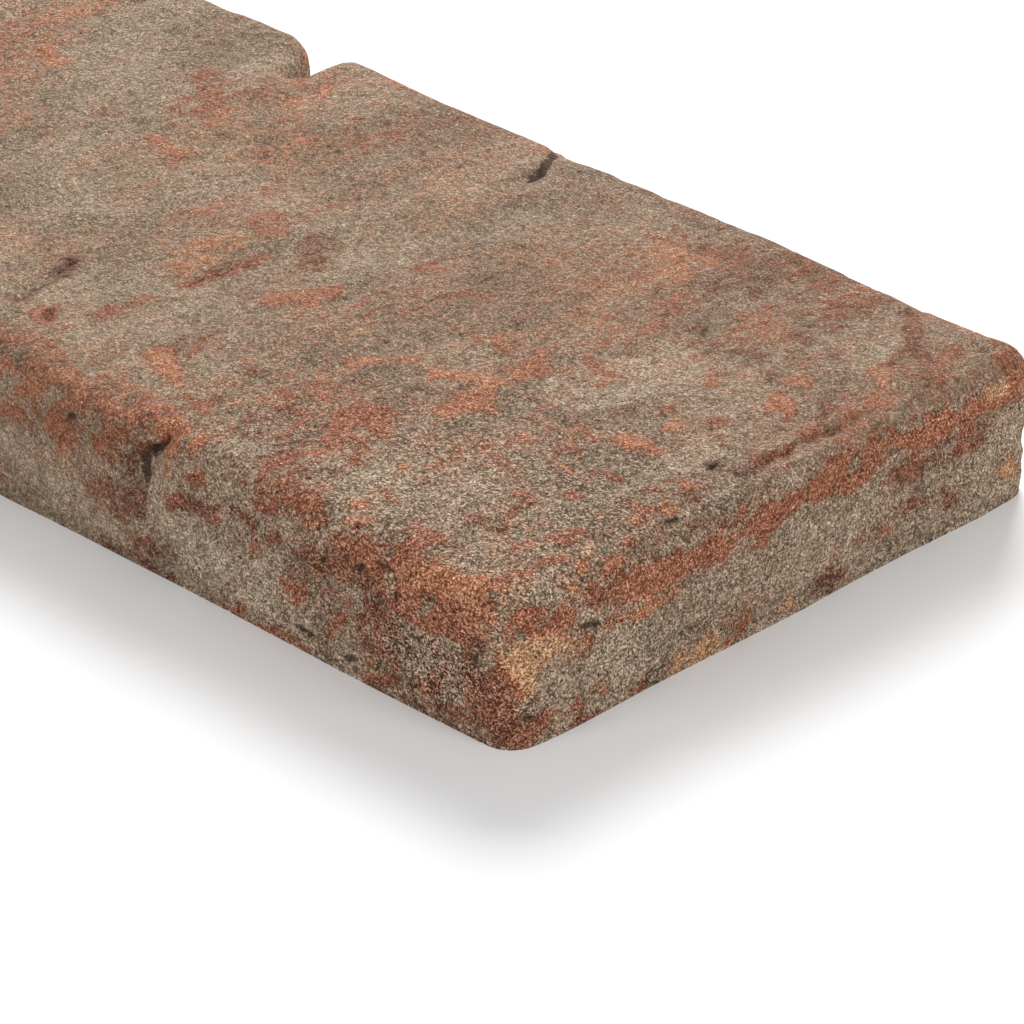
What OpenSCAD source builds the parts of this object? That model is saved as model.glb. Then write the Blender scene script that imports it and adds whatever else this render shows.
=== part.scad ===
// Thin brick tile: a slip of fired clay, sawn flat on the back, with a moulded
// face, tumbled arrises and corners, pressed creases, a torn gash and spalls.
// X runs along the length, Y across the width, Z up from the sawn back.

/* [Tile] */
// Length of the tile, one modular stretcher
tile_length = 193.7; // [150:0.1:260]
// Width of the tile, one modular course
tile_width = 57.15; // [45:0.05:80]
// Thickness from the sawn back to the face
tile_thickness = 12.7; // [10:0.1:22]

/* [Worn edges] */
// Mean radius of the tumbled arrises and corners
arris_radius = 2.7; // [1.5:0.1:4]
// How much that radius swells and shrinks along an arris
arris_wander = 0.8; // [0:0.05:1.2]

/* [Moulded face] */
// Height of the broad swells and hollows in the face and sides
swell_height = 0.55; // [0:0.05:0.8]
// Breadth of those swells
swell_breadth = 21; // [14:1:40]
// Height of the finer unevenness
dimple_height = 0.35; // [0:0.05:0.4]
// Breadth of the finer unevenness
dimple_breadth = 7; // [6:0.5:12]
// Spacing of the surface grid on the face
grid_step = 4; // [3:0.5:6]

/* [Creases] */
// Depth of the drag creases in the face
crease_depth = 0.8; // [0.3:0.1:1.2]
// Width of a drag crease at its deepest
crease_width = 1.3; // [0.5:0.1:2]
// Distance of the long end crease from the near end
end_crease_inset = 2.4; // [2:0.1:8]
// Depth of the fold that runs over the near arris and down the long side
fold_depth = 1.2; // [0.5:0.1:2]
// Width of that fold at its deepest
fold_width = 2.4; // [1:0.1:4]
// Distance of the fold from the near end
fold_inset = 38.5; // [20:0.5:60]
// Height of the split along the foot of the long side
split_height = 2; // [1.6:0.1:4]
// Depth of that split
split_depth = 1.1; // [0.5:0.1:2]
// Opening of the split at its deepest
split_opening = 0.7; // [0.3:0.1:1]

/* [Gash] */
// Distance of the gash in the far arris from the near end
gash_inset = 78.8; // [30:0.1:110]
// How far the gash runs in across the face
gash_reach = 7.5; // [4:0.5:10]
// Width of the gash at the arris
gash_width = 5; // [3:0.1:8]
// Depth of the gash at the side
gash_depth = 6.5; // [3:0.1:9]
// Depth of the gash at its inner tip
gash_tip_depth = 2.4; // [0.8:0.1:3]
// How far its inner tip leans towards the near end
gash_slant = 2.5; // [-4:0.1:4]

/* [Pits] */
// Radius of the round pits in the face
pit_radius = 1.2; // [0.6:0.1:2]
// Depth of the pits
pit_depth = 0.6; // [0.2:0.1:1]

/* [Hidden] */
$fn = 32;

clay = [0.62, 0.47, 0.40];
up = [0, 0, 1];
near_end = tile_length / 2;
far_end = -near_end;
far_side = tile_width / 2;
near_side = -far_side;
wall_height = tile_thickness - arris_radius;

function unit(v) = v / norm(v);
function clamp(v, low, high) = max(low, min(high, v));

// ---- Uneven surface: smooth noise from -0.5 to 0.5 between the points of a lattice.

lattice_size = 997;
lattice = rands(-0.5, 0.5, lattice_size, 41);

function lattice_value(i, j, k) = lattice[(i * 157 + j * 311 + k * 83 + 100 * lattice_size) % lattice_size];
function ease(t) = t * t * (3 - 2 * t);
function mix(a, b, t) = a + (b - a) * t;
function noise(p) =
    let (i = floor(p.x), j = floor(p.y), k = floor(p.z),
         u = ease(p.x - i), v = ease(p.y - j), w = ease(p.z - k))
    mix(mix(mix(lattice_value(i, j, k), lattice_value(i + 1, j, k), u),
            mix(lattice_value(i, j + 1, k), lattice_value(i + 1, j + 1, k), u), v),
        mix(mix(lattice_value(i, j, k + 1), lattice_value(i + 1, j, k + 1), u),
            mix(lattice_value(i, j + 1, k + 1), lattice_value(i + 1, j + 1, k + 1), u), v), w);

// The surface swells a little above the nominal size and sinks more below it.
settle = 0.35;
wander_breadth = 11;
function rise(p) = swell_height * (noise(p / swell_breadth) - settle)
                 + dimple_height * (noise(p / dimple_breadth + [40, 70, 20]) - settle);
function local_radius(p) = arris_radius + 2 * arris_wander * noise(p / wander_breadth + [5, 9, 31]);

// A point of the nominal block, drawn onto the worn edges and raised or sunk.
function worn(p) =
    let (r = local_radius(p),
         core = [clamp(p.x, far_end + r, near_end - r),
                 clamp(p.y, near_side + r, far_side - r),
                 min(p.z, tile_thickness - r)])
    core + unit(p - core) * (r + rise(p));

// ---- Tumbled slab: the face and the four sides as one grid of worn points over a flat back.

arc_steps = [17, 32, 45];  // degrees, from the flat to the middle of an arris
wall_steps = 3;            // levels between the arris and the back

// Grid lines across one span: closer over the arrises, even between them.
function grid_lines(span) =
    let (flat = span - 2 * arris_radius, n = ceil(flat / grid_step),
         rim = [for (a = arc_steps) flat / 2 + arris_radius * tan(a)])
    concat([for (k = [2:-1:0]) -rim[k]], [for (k = [0:n]) flat * (k / n - 0.5)], rim);

xs = grid_lines(tile_length);
ys = grid_lines(tile_width);
nx = len(xs) - 1;
ny = len(ys) - 1;
side_levels = concat([for (k = [1:-1:0]) wall_height + arris_radius * tan(arc_steps[k])],
                     [for (k = [wall_steps:-1:0]) wall_height * k / wall_steps]);

// The rim of the face is walked once round. Each place on it has a column and a row of the grid.
rim_count = 2 * (nx + ny);
function rim_column(k) = k < nx ? k : k < nx + ny ? nx : k < 2 * nx + ny ? 2 * nx + ny - k : 0;
function rim_row(k) = k < nx ? 0 : k < nx + ny ? k - nx : k < 2 * nx + ny ? ny : rim_count - k;
function on_face(i, j) = i * (ny + 1) + j;
function on_side(level, k) =
    level == 0 ? on_face(rim_column(k % rim_count), rim_row(k % rim_count))
               : (nx + 1) * (ny + 1) + (level - 1) * rim_count + k % rim_count;

module tumbled_slab() {
    levels = len(side_levels);
    face_points = [for (x = xs) for (y = ys) worn([x, y, tile_thickness])];
    side_points = [for (z = side_levels) for (k = [0:rim_count - 1])
                   worn([xs[rim_column(k)], ys[rim_row(k)], z])];
    face = [for (i = [0:nx - 1]) for (j = [0:ny - 1])
            each [[on_face(i, j), on_face(i, j + 1), on_face(i + 1, j + 1)],
                  [on_face(i, j), on_face(i + 1, j + 1), on_face(i + 1, j)]]];
    sides = [for (level = [0:levels - 1]) for (k = [0:rim_count - 1])
             each [[on_side(level, k), on_side(level, k + 1), on_side(level + 1, k + 1)],
                   [on_side(level, k), on_side(level + 1, k + 1), on_side(level + 1, k)]]];
    back = [[for (k = [0:rim_count - 1]) on_side(levels, k)]];
    polyhedron(points = concat(face_points, side_points), faces = concat(face, sides, back));
}

// ---- Creases: V-shaped furrows that follow a bent path over the surface, deepest along
// their middle and running out at both ends. The path is points on the nominal block, and
// out is the direction that faces away from the clay there.

module furrow(path, out, depth, width) {
    last = len(path) - 1;
    lip = 1;  // the cutter starts this far clear of the surface
    spread = width / 2 * (1 + lip / depth);
    function rib(i) =
        let (on = worn(path[i]), side = spread * unit(cross(out, path[i + 1] - path[i - 1])))
        [on + lip * out + side, on - depth * sin(180 * i / last) * out, on + lip * out - side];
    function corner(i, k) = i == 0 ? 0 : i == last ? 3 * last - 2 : 3 * i - 2 + k;
    polyhedron(
        points = concat([worn(path[0]) + lip * out],
                        [for (i = [1:last - 1]) each rib(i)],
                        [worn(path[last]) + lip * out]),
        faces = [for (i = [0:last - 1]) for (k = [0:2])
                 let (a = corner(i, k), b = corner(i, (k + 1) % 3),
                      c = corner(i + 1, (k + 1) % 3), d = corner(i + 1, k))
                 each [if (a != b) [a, b, c], if (c != d) [a, c, d]]]);
}

// Points on the face, given as distances in from one of its corners.
function inset(corner, path) =
    [for (p = path) [corner.x - sign(corner.x) * p.x, corner.y - sign(corner.y) * p.y, tile_thickness]];

// The long crease inside the near end follows the whole width. A short crack lies on the arris
// beside it.
module end_creases() {
    drift = [0.2, 0, -0.1, 0.1, -0.3, 0.4, 1.3];
    start = 0.17;
    step = 0.12;
    x = near_end - end_crease_inset;
    furrow([for (i = [0:len(drift) - 1])
            [x - drift[i], near_side + tile_width * (start + step * i), tile_thickness]],
           up, crease_depth, crease_width);
    furrow(inset([near_end, near_side], [[0.9, 14], [0.5, 16], [0.4, 18], [0.8, 20.5]]),
           unit([1, 0, 1]), crease_depth, crease_width);
}

// Folds dragged across the face when the clay was pressed out of its mould.
module drag_folds() {
    for (path = [
        inset([near_end, near_side], [[53.6, 6], [54, 11], [53.9, 17], [53.3, 22], [52.3, 27]]),
        inset([near_end, near_side], [[60.6, 5.5], [61, 9], [62, 12], [62.6, 15]]),
        inset([near_end, far_side], [[47.2, 12], [47.6, 8], [48, 5], [50.4, 1]]),
        inset([near_end, far_side], [[74.2, 10], [74.4, 14], [75, 21], [75.6, 25]]),
        inset([far_end, far_side], [[80.3, 12], [81.7, 17], [81.1, 24], [82.2, 31]]),
        inset([far_end, near_side], [[53.3, 11], [54.5, 17], [54.1, 22], [55.3, 27]])
    ])
        furrow(path, up, crease_depth, crease_width);
}

// The fold that runs over the near arris and down the long side.
module side_fold() {
    x = near_end - fold_inset;
    middle = (tile_thickness + split_height) / 2;
    furrow([[x + 2.6, near_side + 5, tile_thickness],
            [x + 2, near_side + 1.5, tile_thickness],
            [x + 1.2, near_side, tile_thickness - 1.5],
            [x - 0.3, near_side, middle],
            [x - 0.5, near_side, split_height + 1.5],
            [x, near_side, split_height]],
           unit([0, -1, 1]), fold_depth, fold_width);
}

// The split along the foot of that side, where two layers of clay parted. It rises towards the
// near end.
module side_split() {
    furrow([for (p = [[25, -1], [21.5, -0.6], [18, 0], [14, 0.6], [10, 1]])
            [near_end - p.x, near_side, split_height + p.y]],
           [0, -1, 0], split_depth, split_opening);
}

// ---- Gash: a piece torn out of the far arris, narrower and shallower at its inner tip.

module gash() {
    tear = 0.8;     // radius of the torn corners
    overrun = 2;    // how far the cutter stands clear of the face and the side
    half = gash_width / 2 - tear;
    tip = [gash_slant, tear - gash_reach, 0];
    translate([near_end - gash_inset, far_side, tile_thickness])
        hull() {
            for (at = [[-half, overrun, tear - gash_depth], [half, overrun, tear - gash_depth],
                       [-half, overrun, overrun], [half, overrun, overrun],
                       tip + [-half / 2, 0, overrun], tip + [half / 2, 0, overrun],
                       tip + [0, 0, tear - gash_tip_depth]])
                translate(at)
                    sphere(r = tear);
        }
}

// ---- Spalls and pits: round-bottomed scoops out of the arrises and the face.

module scoop(place, out, radius, bite) {
    translate(worn(place) + out * (radius - bite))
        sphere(r = radius);
}

module spall(x, y, radius, bite) {
    out = unit([abs(x) == near_end ? sign(x) : 0, abs(y) == far_side ? sign(y) : 0, 1]);
    scoop([x, y, tile_thickness], out, radius, bite);
}

module spalls() {
    spall(near_end, near_side + 17, 6, 0.4);
    spall(near_end, far_side - 12, 7, 0.4);
    spall(near_end - 21, near_side, 6, 0.45);
    spall(near_end - 48, far_side, 6, 0.5);
    spall(0, near_side, 9, 0.8);
    spall(far_end + 67, far_side, 7, 0.7);
    spall(far_end + 24, near_side, 6, 0.6);
    spall(far_end, near_side + 12, 7, 0.7);
    spall(far_end, far_side - 3, 8, 1);
}

module pits() {
    places = concat(inset([near_end, near_side], [[56.8, 6.5]]),
                    inset([near_end, far_side], [[88, 16]]),
                    inset([far_end, near_side], [[72, 20]]),
                    inset([far_end, far_side], [[36, 20]]));
    for (p = places)
        scoop(p, up, pit_radius, pit_depth);
}

// ---- The tile.

module brick_tile() {
    color(clay)
        difference() {
            tumbled_slab();
            end_creases();
            drag_folds();
            side_fold();
            side_split();
            gash();
            spalls();
            pits();
        }
}

brick_tile();
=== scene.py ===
import itertools
import math

import bpy
import numpy as np
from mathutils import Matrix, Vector
from mathutils.bvhtree import BVHTree


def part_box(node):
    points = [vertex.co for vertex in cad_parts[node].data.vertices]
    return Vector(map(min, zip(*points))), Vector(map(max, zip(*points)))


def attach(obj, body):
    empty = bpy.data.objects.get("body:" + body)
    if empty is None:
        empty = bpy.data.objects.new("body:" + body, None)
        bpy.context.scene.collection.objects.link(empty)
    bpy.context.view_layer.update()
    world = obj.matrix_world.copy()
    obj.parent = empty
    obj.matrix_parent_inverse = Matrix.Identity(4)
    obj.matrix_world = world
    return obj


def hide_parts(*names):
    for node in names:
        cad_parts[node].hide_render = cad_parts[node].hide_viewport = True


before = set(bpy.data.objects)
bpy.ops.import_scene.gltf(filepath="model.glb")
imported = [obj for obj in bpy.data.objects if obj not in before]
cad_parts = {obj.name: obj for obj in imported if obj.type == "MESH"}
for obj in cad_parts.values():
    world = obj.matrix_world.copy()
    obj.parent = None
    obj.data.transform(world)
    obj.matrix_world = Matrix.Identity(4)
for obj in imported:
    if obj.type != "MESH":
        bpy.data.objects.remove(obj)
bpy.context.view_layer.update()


# ---- The fired slip -------------------------------------------------------------------------
# One slip of red clay, pressed face up in a mould, fired, sawn flat on the back and tumbled.
# Its skin is a fine net of points laid on the solid, closest at the near end, in millimetres.

low, high = (np.array(corner) * 1000 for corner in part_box("brick_tile"))
near_end, far_end = high[0], low[0]
near_side, far_side = low[1], high[1]
top, back = high[2], low[2]

near_gap, far_gap = 0.28, 0.74      # between the lines of the net, at the two ends
cross_gap = 0.38                    # between the lines along the tile, and between the levels
fan_depth = 8                       # the lines over the arrises fan out from this far inside
stand_off = 5                       # every point looks for the solid from this far outside
above_back = 0.01                   # the lowest level looks for it just above the back


def growing(first, last, first_gap, last_gap):
    """Places from first to last, with gaps that grow evenly from first_gap to last_gap."""
    count = round(2 * abs(last - first) / (first_gap + last_gap))
    gaps = np.linspace(first_gap, last_gap, count)
    return first + np.append(0, np.cumsum(gaps)) * (last - first) / gaps.sum()


xs = growing(near_end, far_end, near_gap, far_gap)
ys = growing(near_side, far_side, cross_gap, cross_gap)
levels = growing(top, back, cross_gap, cross_gap)[1:]
nx, ny = len(xs) - 1, len(ys) - 1

# The rim of the face, once round: the near side, the far end, the far side and the near end, as
# columns and rows of the net.
rim = ([(i, 0) for i in range(nx)] + [(nx, j) for j in range(ny)]
       + [(i, ny) for i in range(nx, 0, -1)] + [(0, j) for j in range(ny, 0, -1)])
face_count = (nx + 1) * (ny + 1)
face_net = [(x, y, top) for x in xs for y in ys]
side_net = [(xs[i], ys[j], z) for z in levels for i, j in rim]
net = np.array(face_net + side_net)

on_face = np.arange(face_count).reshape(nx + 1, ny + 1)
rings = [np.array([on_face[i, j] for i, j in rim])]
rings += [face_count + k * len(rim) + np.arange(len(rim)) for k in range(len(levels))]
quads = [np.stack([on_face[:-1, :-1], on_face[:-1, 1:], on_face[1:, 1:], on_face[1:, :-1]], -1)]
for upper, lower in zip(rings, rings[1:]):
    quads.append(np.stack([upper, np.roll(upper, -1), np.roll(lower, -1), lower], -1))
quads = np.concatenate([q.reshape(-1, 4) for q in quads])
rim_back = rings[-1]

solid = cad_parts["brick_tile"].data
surface = BVHTree.FromPolygons([v.co * 1000 for v in solid.vertices],
                               [p.vertices for p in solid.polygons])
inner_low = np.array([far_end + fan_depth, near_side + fan_depth, back])
inner_high = np.array([near_end - fan_depth, far_side - fan_depth, top - fan_depth])
outward = net - np.clip(net, inner_low, inner_high)
outward /= np.linalg.norm(outward, axis=1)[:, None]
started = net + stand_off * outward
started[:, 2] = np.maximum(started[:, 2], above_back)
skin = np.array([surface.ray_cast(Vector(p), Vector(-d))[0] for p, d in zip(started, outward)])

# Neighbours along every edge of the net, for evening it out.
edges = np.concatenate([quads[:, [0, 1]], quads[:, [1, 2]], quads[:, [2, 3]], quads[:, [3, 0]]])
edges = np.unique(np.sort(edges, axis=1), axis=0)
ends_a, ends_b = np.concatenate([edges, edges[:, ::-1]]).T
degree = np.bincount(ends_a)


def evened(points):
    """Each point moved halfway to the middle of its neighbours, the back kept flat."""
    middle = np.stack([np.bincount(ends_a, points[ends_b, axis]) for axis in range(3)], -1)
    points = (points + middle / degree[:, None]) / 2
    points[rim_back, 2] = back
    return points


# In the gash of the far arris the net is drawn over the torn walls before it is evened out.
gash = np.array([near_end - 78.8, far_side - 3.5, top - 3])
gash_reach = 9                      # from its middle to beyond the torn walls
drawn_rounds, evened_rounds = 30, 9
torn = np.flatnonzero(np.linalg.norm(skin - gash, axis=1) < gash_reach)
for _ in range(drawn_rounds):
    drawn = evened(skin)
    for k in torn:
        skin[k] = surface.find_nearest(Vector(drawn[k]))[0]
for _ in range(evened_rounds):
    skin = evened(skin)


def normals_of(points):
    """The outward direction at every point of the net."""
    a, b, c, d = (points[quads[:, k]] for k in range(4))
    facing = np.cross(c - a, d - b)
    total = np.zeros_like(points)
    for k in range(4):
        for axis in range(3):
            total[:, axis] += np.bincount(quads[:, k], facing[:, axis], len(points))
    return total / np.linalg.norm(total, axis=1)[:, None]


# ---- Where the grey wash is gone ------------------------------------------------------------
# The slip was washed grey with a sandy slurry before firing, and tumbling has rubbed the wash off
# the arrises and off high spots of the face. Each bare place is a stroke of round spots.

lattice = np.random.default_rng(5).random((32, 32, 32)) - 0.5


def lumps(points, breadth, stretch=(1, 1, 1), shift=0.0):
    """Smooth unevenness from about -0.5 to 0.5, with one lump to each breadth in mm."""
    at = points / (breadth * np.array(stretch)) + shift
    cell = np.floor(at).astype(int)
    ease = at - cell
    ease = ease * ease * (3 - 2 * ease)
    total = np.zeros(len(points))
    for corner in itertools.product((0, 1), repeat=3):
        weight = np.prod(np.where(corner, ease, 1 - ease), axis=1)
        total += weight * lattice[tuple(((cell + corner) % 32).T)]
    return total


def step(value, zero_at, one_at):
    """0 as far as zero_at, 1 beyond one_at, and smooth between them."""
    t = np.clip((value - zero_at) / (one_at - zero_at), 0, 1)
    return t * t * (3 - 2 * t)


def face(x, y):
    """A place on the face, x from the near end and y from the near side, and the way inward."""
    return (near_end - x, near_side + y, top), (0, 0, -1)


def side(x, z):
    """The same on the near side, x from the near end and z above the back."""
    return (near_end - x, near_side, z), (0, 1, 0)


def end(y, z):
    """The same on the near end, y from the near side and z above the back."""
    return (near_end, near_side + y, z), (-1, 0, 0)


look_depth = 5                      # how deep under a flat side the solid is looked for, in mm


def laid_on(plane, a, b):
    """The point of the solid under a place on one of its flat sides."""
    place, inward = (Vector(v) for v in plane(a, b))
    found = surface.ray_cast(place - inward, inward, look_depth)[0]
    return found or surface.find_nearest(place)[0]


wander = 0.7                        # how far the edges of the strokes wander, in mm
ragged = np.stack([0.6 * lumps(skin, 2.6, shift=s) + 0.5 * lumps(skin, 0.9, shift=s + 9)
                   for s in (1.3, 4.7, 8.1)], -1) * wander
brushed = skin + ragged
far_outside = -9.0                  # in mm, for points that no spot comes near


def inside(plane, spots):
    """How far inside a stroke each point of the skin lies, in mm, negative outside it. A spot is
    its place on the plane and half its breadth."""
    laid = [np.array([*laid_on(plane, a, b), r]) for a, b, r in spots]
    depth = np.full(len(skin), far_outside)
    for p, q in zip(laid, laid[1:] or laid):
        run = q[:3] - p[:3]
        t = np.clip((brushed - p[:3]) @ run / max(run @ run, 1e-9), 0, 1)
        gap = np.linalg.norm(brushed - p[:3] - t[:, None] * run, axis=1)
        depth = np.maximum(depth, p[3] + t * (q[3] - p[3]) - gap)
    return depth


along = near_end - skin[:, 0]
across = skin[:, 1] - near_side
from_far_side = far_side - skin[:, 1]
up = skin[:, 2]
from_side = np.minimum(across, from_far_side)
from_end = np.minimum(along, skin[:, 0] - far_end)
arris_breadth = 3.2                 # of the worn band beside every arris
on_top = step(up, top - 2.2, top - 0.8)
on_arris = step(arris_breadth - np.minimum(from_side, from_end), 0, 2.5)
on_arris *= step(up, top - 4, top - 1.5)

# Near the corner the strokes show every worn place. Beyond that, wear is scattered as well. It
# is heavier on the arrises and high on the sides, and lighter on the near end.
stroked_face, stroked_side = 38, 50  # in mm from the near end, on the face and on the side
high_up, high_breadth = 9.8, 2.4    # the band of wear high on the sides
scatter = lumps(skin, 8, (1, 1.8, 1), 2.2) + 0.8 * lumps(skin, 3.2, (1, 2.2, 1), 6.1)
high_band = np.exp(-((up - high_up) / high_breadth) ** 2) * (1 - on_top)
close_up = np.maximum(step(stroked_face - along, 0, 8) * on_top,
                      step(stroked_side - along, 0, 8) * (1 - on_top))
close_up *= step(from_far_side, 0.2, 2)
on_near_end = step(2.5 - along, 0, 1.5) * (1 - on_top)
scatter *= 1 + 0.7 * (1 - on_top) * (1 - close_up) + on_top * step(along, 60, 115)
bare = -0.5 + 0.9 * scatter + (0.6 * on_arris + 0.45 * high_band) * (1 - close_up)
bare -= close_up * (0.45 * on_near_end + 0.1 * (1 - on_top) - 0.1 * on_top)

# The hue of the clay, from dark to light.
hues = {"umber": 0.0, "brown": 0.2, "brick": 0.4, "rose": 0.55, "orange": 0.7, "peach": 0.85,
        "ochre": 1.0}
tone = 0.42 + 0.5 * lumps(skin, 7, shift=3.3) + 0.3 * lumps(skin, 2.2, shift=7.9)
tone += 0.14 * step(along, 30, 65)

# How far inside a stroke its wear or its wash is full. A broken place is bare only in flecks.
fully_bare, fully_washed, broken_at = 1.1, 1.5, 0.12


def worn_off(plane, hue, *spots, broken=False):
    """The wash is gone over a stroke, and the clay there has this hue."""
    global bare, tone
    depth = inside(plane, spots)
    if broken:
        depth = np.minimum(depth - 0.1, broken_at)
    bare = np.maximum(bare, np.minimum(depth, fully_bare))
    share = step(depth, -0.9, 0.3)
    tone = tone * (1 - share) + (hues[hue] + 0.12 * lumps(skin, 1.5)) * share


def washed(plane, *spots):
    """The wash is still whole over a stroke."""
    global bare
    bare = np.minimum(bare, -np.minimum(inside(plane, spots), fully_washed))


# The near side, from the near end.
worn_off(side, "brown", (0.4, 8.2, 0.9), (0.5, 6.6, 1.4), (1.5, 5.2, 1.7), (3, 4.3, 2), (2.6, 3, 2),
         (1.6, 2, 1.6), (0.8, 0.9, 1.1))
worn_off(side, "brick", (3.4, 10.2, 1.5), (5.2, 9.6, 2.4), (8, 9.7, 2.6), (11, 9.9, 2.6),
         (13.5, 10.2, 2), (16, 10.3, 1.4), (17.5, 10.6, 0.8))
worn_off(side, "brick", (4.1, 7.6, 0.8), (4.3, 6.6, 0.5))
# This umber strip is painted shadow: a dark line beside the strip of whole wash.
worn_off(side, "umber", (3.9, 8, 0.35), (3.9, 7, 0.4), (4, 6.2, 0.35))
worn_off(side, "brown", (11.6, 5.2, 0.6), (12.8, 6.2, 1.2), (14.6, 6.4, 1.2), (15.4, 5, 0.5))
worn_off(side, "brown", (14.5, 8.5, 0.8), (17, 9, 1.2), (19.2, 8.2, 1), (21.6, 8.1, 0.9))
worn_off(side, "rose", (21, 11.2, 0.7), (22.3, 11.4, 0.6))
worn_off(side, "brick", (24.6, 11.2, 0.7), (25.6, 10.7, 0.8), (26.3, 10.2, 0.5))
worn_off(side, "brown", (24.4, 8.3, 0.5), (25.6, 8, 0.5))
worn_off(side, "brown", (27.2, 8.4, 0.6), (28.7, 9, 0.6))
worn_off(side, "brown", (31.2, 7.8, 0.6), (33.4, 7.4, 0.8), (35.8, 7.1, 0.6))
worn_off(side, "brick", (31.8, 9.7, 0.5), (33.2, 9.9, 0.5))
worn_off(side, "brown", (5.2, 1.2, 0.7), (6.6, 1.6, 0.8), (7.6, 1.4, 0.5))
worn_off(side, "umber", (9.6, 0.3, 0.6), (10, 1.1, 0.6), (10.5, 1.7, 0.3))
worn_off(side, "brick", (12.4, 1.6, 0.6), (13.6, 1.2, 0.7), (14.5, 0.9, 0.3))
worn_off(side, "brown", (2, 0.2, 0.5), (5, 0.2, 0.4), (8, 0.1, 0.4), (12, 0.1, 0.35),
         (15, 0.1, 0.3))
worn_off(side, "brick", (22, 0.1, 0.4), (26, 0.1, 0.45), (30, 0.1, 0.4))
worn_off(side, "umber", (36, 0.2, 0.35), (44, 0.3, 0.4))
worn_off(side, "brick", (21.2, 6.2, 0.5), (21.6, 5, 0.7), (22.3, 4.1, 0.4))
worn_off(side, "brick", (23, 5.4, 0.4), (23.6, 4.8, 0.6))
worn_off(side, "brick", (18, 4.3, 0.5), (18.5, 3.6, 0.4))
worn_off(side, "brown", (19, 2.6, 0.4))
worn_off(side, "brick", (20.2, 7, 0.3), (20.2, 5.8, 0.25))
worn_off(side, "brick", (26.8, 6.7, 0.4), (27.2, 6.1, 0.4))
worn_off(side, "brown", (5.8, 5.6, 0.5), (7, 5.2, 0.5), (7.4, 4.4, 0.4), broken=True)
worn_off(side, "umber", (5.2, 4.9, 0.5), (5.6, 4.2, 0.4))
worn_off(side, "brown", (8.3, 3.2, 0.8), (7.6, 2.2, 0.6), broken=True)
worn_off(side, "brown", (11.2, 5.9, 0.4), (11.4, 4.4, 0.5), (10.2, 4.3, 0.4), broken=True)
worn_off(side, "brick", (8.9, 2.2, 0.35), (9.1, 1.4, 0.3))
worn_off(side, "brown", (12.4, 3.7, 0.7), (15.5, 3.6, 0.6), broken=True)
worn_off(side, "rose", (36.2, 12, 0.7), (36.4, 10.9, 0.4), (36.5, 9.4, 0.3))
worn_off(side, "brick", (41, 11.4, 0.8), (43, 8.9, 1.1), (44.6, 8.3, 1))
worn_off(side, "brown", (41, 9, 1.4), (41, 5.6, 1.6), (44.4, 5, 1.4), broken=True)
worn_off(side, "brown", (40.5, 3, 0.8), (38, 1.8, 0.8), (36, 2.6, 0.6), broken=True)
worn_off(side, "brick", (40, 10.8, 0.6), (42.5, 11.2, 0.7), (45, 11, 0.8), (48, 10.8, 1),
         broken=True)
worn_off(side, "umber", (38.4, 10.4, 0.5), (39.6, 9.6, 0.6), (39.9, 8, 0.6), (39.9, 6.2, 0.55),
         (39.5, 4.6, 0.5))
worn_off(side, "brick", (46.5, 9.4, 0.9), (48.5, 8.2, 1.3), (50, 9.4, 1.1))
worn_off(side, "rose", (40.6, 12.2, 0.9), (43, 12, 0.8))
worn_off(side, "peach", (44.6, 12.2, 0.8), (46.4, 12.2, 0.9), broken=True)
worn_off(side, "rose", (52, 12.4, 1.4), (57, 12.2, 1.6), broken=True)
worn_off(side, "brick", (52.5, 7.8, 0.7), (54.5, 7.6, 0.7))

# The near end, from the near side.
worn_off(end, "brown", (0.2, 4.4, 0.9), (0.6, 2.6, 1), (0.6, 1.2, 1), (2.2, 1.6, 0.7),
         (3.6, 1.7, 0.6))
worn_off(end, "orange", (0.4, 10.4, 0.8), (1.4, 10.6, 0.8))
worn_off(end, "brick", (1.8, 11, 0.8), (3.4, 10.4, 1.3), (4.6, 10, 1.3), (5.6, 9.3, 1),
         (6.4, 8.8, 0.5))
worn_off(end, "brick", (2, 9.4, 0.5), (3.4, 9, 0.7), (5, 8.7, 0.7))
worn_off(end, "brown", (0.4, 9, 0.5), (1.4, 9, 0.4))
worn_off(end, "ochre", (0.8, 7.9, 0.8), (1.6, 7.6, 1.2), (3, 7.6, 1.1), (3.9, 7.8, 0.7))
worn_off(end, "ochre", (2, 6.8, 0.9), (2.2, 5.6, 0.6), (2.3, 4.6, 0.5))
worn_off(end, "ochre", (4.4, 7.5, 0.8), (5.2, 6.9, 0.8), (6.2, 7.2, 0.6), broken=True)
worn_off(end, "brick", (7.2, 7.4, 0.5), (7.6, 6.6, 0.7))
worn_off(end, "orange", (6.5, 7.8, 0.4), (6.8, 6.6, 0.5))
worn_off(end, "orange", (6.8, 11.2, 0.4), (7.4, 10.9, 0.3))
worn_off(end, "brick", (8.6, 10.3, 0.7), (9.8, 10, 1), (11, 9.4, 1.3), (13, 9, 1.4), (15, 8.8, 1.5),
         (17, 8.8, 1.3), (19, 8.7, 1), (21, 8.5, 1.1), (22.4, 8.4, 1.1))
worn_off(end, "orange", (10.4, 7.7, 0.7), (12.5, 7.4, 0.8), (15, 7.1, 0.8), (17, 7.3, 0.6),
         broken=True)
worn_off(end, "brown", (9, 9.3, 0.4), (10.2, 9, 0.5))
worn_off(end, "brick", (20.6, 10.4, 0.45), (22.2, 10.4, 0.5), (24, 10.3, 0.6))
worn_off(end, "brick", (24.4, 9.2, 0.7), (26.2, 8.7, 1.5), (27.6, 9.2, 0.9), (29, 9.6, 0.6),
         (31, 9.7, 0.6), (32.8, 9.8, 1.4), (35, 9.7, 1.6), (37, 9.8, 1.6), (38.6, 10.4, 1.2))
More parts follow.
